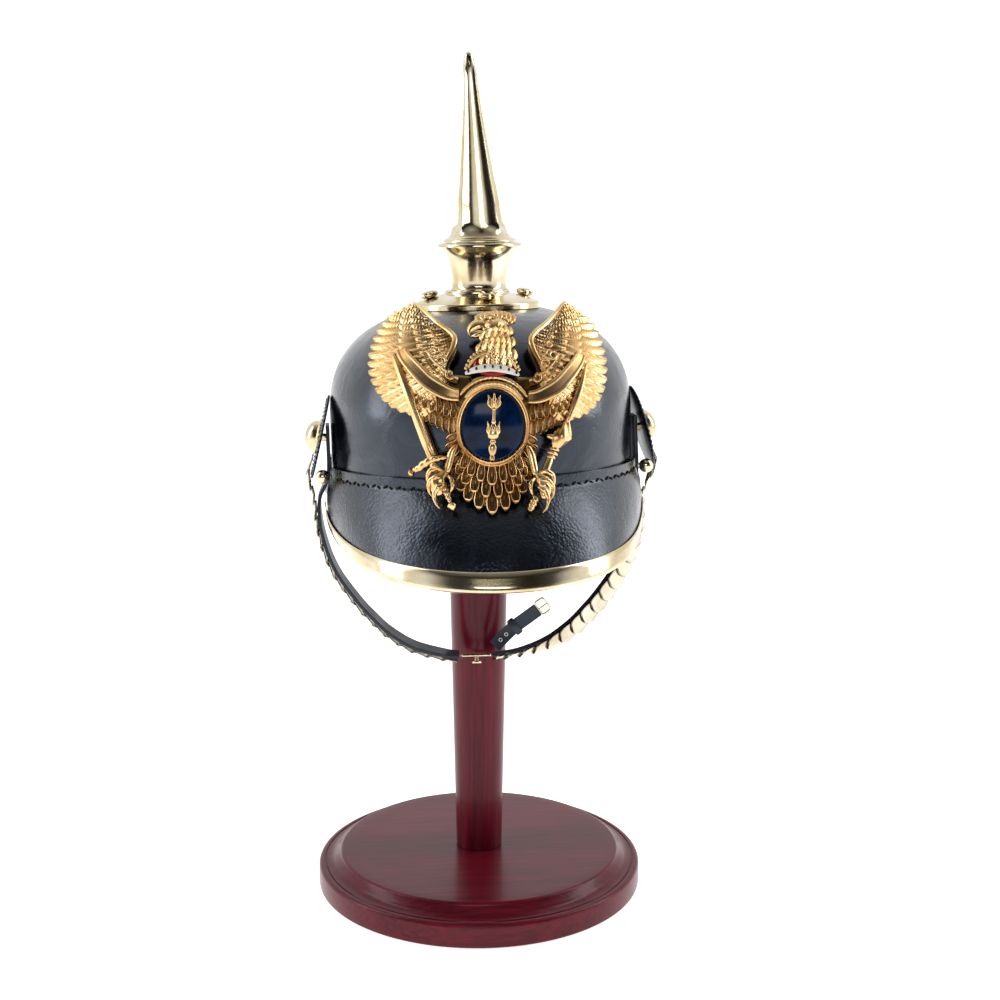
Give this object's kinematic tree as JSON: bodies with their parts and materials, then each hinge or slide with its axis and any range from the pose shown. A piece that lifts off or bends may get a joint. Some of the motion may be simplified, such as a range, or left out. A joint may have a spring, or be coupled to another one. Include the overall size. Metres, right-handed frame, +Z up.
{
  "type": "pickelhaube on a display stand",
  "caption": "Spiked leather parade helmet with front and rear visors, raised eagle plate, side cockades and scaled chin strap, set on a turned wooden display stand.",
  "frame": {"origin": "middle of the underside of the stand base, on the surface it stands on", "axes": "+Z up along the post, -Y the way the front visor and the eagle look, +X to the viewer's right of someone who faces the eagle"},
  "size_m": [0.2077, 0.2834, 0.5013],
  "materials": {
    "mahogany": "dark red polish, fine grain",
    "black_leather": "glossy black lacquered leather",
    "strap_leather": "black strap leather, satin",
    "brass": "polished",
    "gilt": "gilt cast brass, satin to polished",
    "black_lacquer": "black lacquer on stamped metal",
    "blue_enamel": "glossy dark blue enamel on metal"
  },
  "bodies": {
    "root": {"stand_base": "mahogany", "stand_post": "mahogany", "shell": "black_leather", "front_visor": "black_leather", "rear_visor": "black_leather", "front_trim": "brass", "visor_rivet_left": "brass", "visor_rivet_right": "brass", "spike_base": "brass", "spike_stud_front": "brass", "spike_stud_right": "brass", "spike_stud_back": "brass", "spike_stud_left": "brass", "spike": "brass", "eagle": "gilt", "shield_field": "blue_enamel", "shield_rim": "gilt", "shield_sceptre": "gilt", "cockade_left": "black_lacquer", "boss_left": "brass", "cockade_right": "black_lacquer", "boss_right": "brass", "chin_strap_left": "strap_leather", "chin_scales_left": "brass", "chin_strap_right": "strap_leather", "chin_scales_right": "brass", "buckle": "brass", "strap_tail": "strap_leather", "tail_keeper": "strap_leather", "tail_buckle": "brass"}
  },
  "joints": []
}
